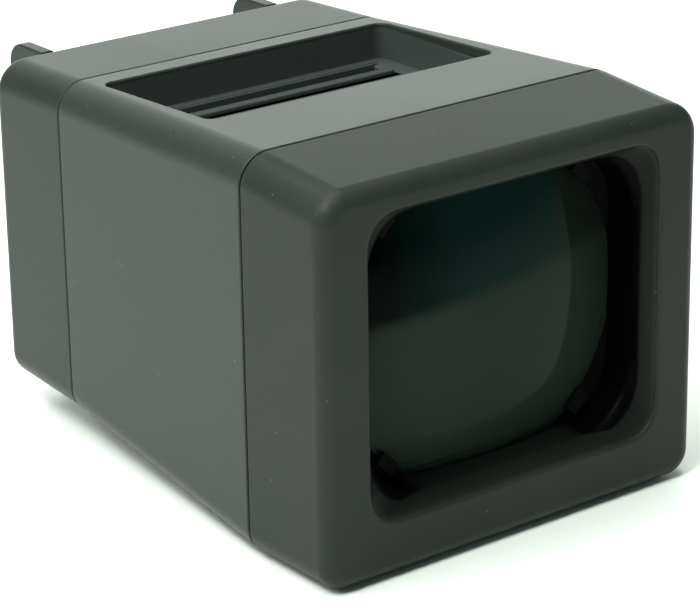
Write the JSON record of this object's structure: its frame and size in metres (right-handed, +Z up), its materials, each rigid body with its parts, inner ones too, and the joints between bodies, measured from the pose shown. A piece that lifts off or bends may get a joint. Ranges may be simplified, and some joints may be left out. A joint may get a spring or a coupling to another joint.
{
  "type": "desktop slide viewer",
  "caption": "Boxy desktop viewer for mounted slides: lens behind a wide bevelled window, finger recess with slide slot on top, sprung carrier, LED light box, rear fins.",
  "frame": {"origin": "middle of the case's width and depth, rear fins included, on the surface that it stands on", "axes": "+X to the viewer's right, +Y from the front window to the rear fins, +Z up"},
  "size_m": [0.086, 0.1212, 0.0748],
  "materials": {
    "bezel_plastic": "fine spark-eroded texture, satin",
    "body_plastic": "fine spark-eroded texture, satin",
    "cover_plastic": "fine spark-eroded texture, satin",
    "lens_glass": "clear, polished",
    "inner_black": "matt black",
    "carrier_plastic": "matt black",
    "contact_brass": "bright",
    "spring_steel": "drawn wire",
    "switch_board": "phenolic sheet",
    "opal_plastic": "opal, smooth",
    "white_plastic": "white, satin",
    "circuit_board": "green solder mask",
    "led_lens": "yellow phosphor",
    "resistor_black": "glazed",
    "cell_wrap": "plain printed sleeve, steel ends",
    "nickel_steel": "nickel plate",
    "screw_steel": "zinc plate",
    "foot_rubber": "matt",
    "wire_red": "PVC insulation",
    "wire_black": "PVC insulation",
    "wire_white": "PVC insulation"
  },
  "bodies": {
    "case": {"front_bezel": "bezel_plastic", "middle_body": "body_plastic", "rear_cover": "cover_plastic", "lens": "lens_glass", "lens_frame": "inner_black", "light_tunnel": "inner_black", "chassis": "inner_black", "carrier_spring_left": "spring_steel", "carrier_spring_right": "spring_steel", "switch_base": "switch_board", "switch_contacts": "contact_brass", "diffuser": "opal_plastic", "light_box": "white_plastic", "led_board": "circuit_board", "leds": "led_lens", "resistors": "resistor_black", "battery_holder": "inner_black", "battery_1": "cell_wrap", "battery_2": "cell_wrap", "battery_3": "cell_wrap", "battery_contacts": "nickel_steel", "battery_springs": "nickel_steel", "door_hinge_pin": "spring_steel", "bezel_screws": "screw_steel", "case_screws": "screw_steel", "board_screws": "screw_steel", "rubber_feet": "foot_rubber", "wire_red": "wire_red", "wire_black": "wire_black", "wire_white": "wire_white"},
    "carrier": {"slide_carrier": "carrier_plastic", "contact_bridge": "contact_brass"},
    "door": {"battery_door": "cover_plastic"}
  },
  "joints": [
    {"name": "carrier_press", "type": "slide", "parent": "case", "child": "carrier", "axis": [0, 0, -1], "range_m": [0, 0.005], "stiffness_N_per_m": 120, "springref_m": -0.006},
    {"name": "door_swing", "type": "hinge", "parent": "case", "child": "door", "pos_m": [0, 0.04815, 0.0128], "axis": [-1, 0, 0], "range_deg": [0, 95]}
  ]
}
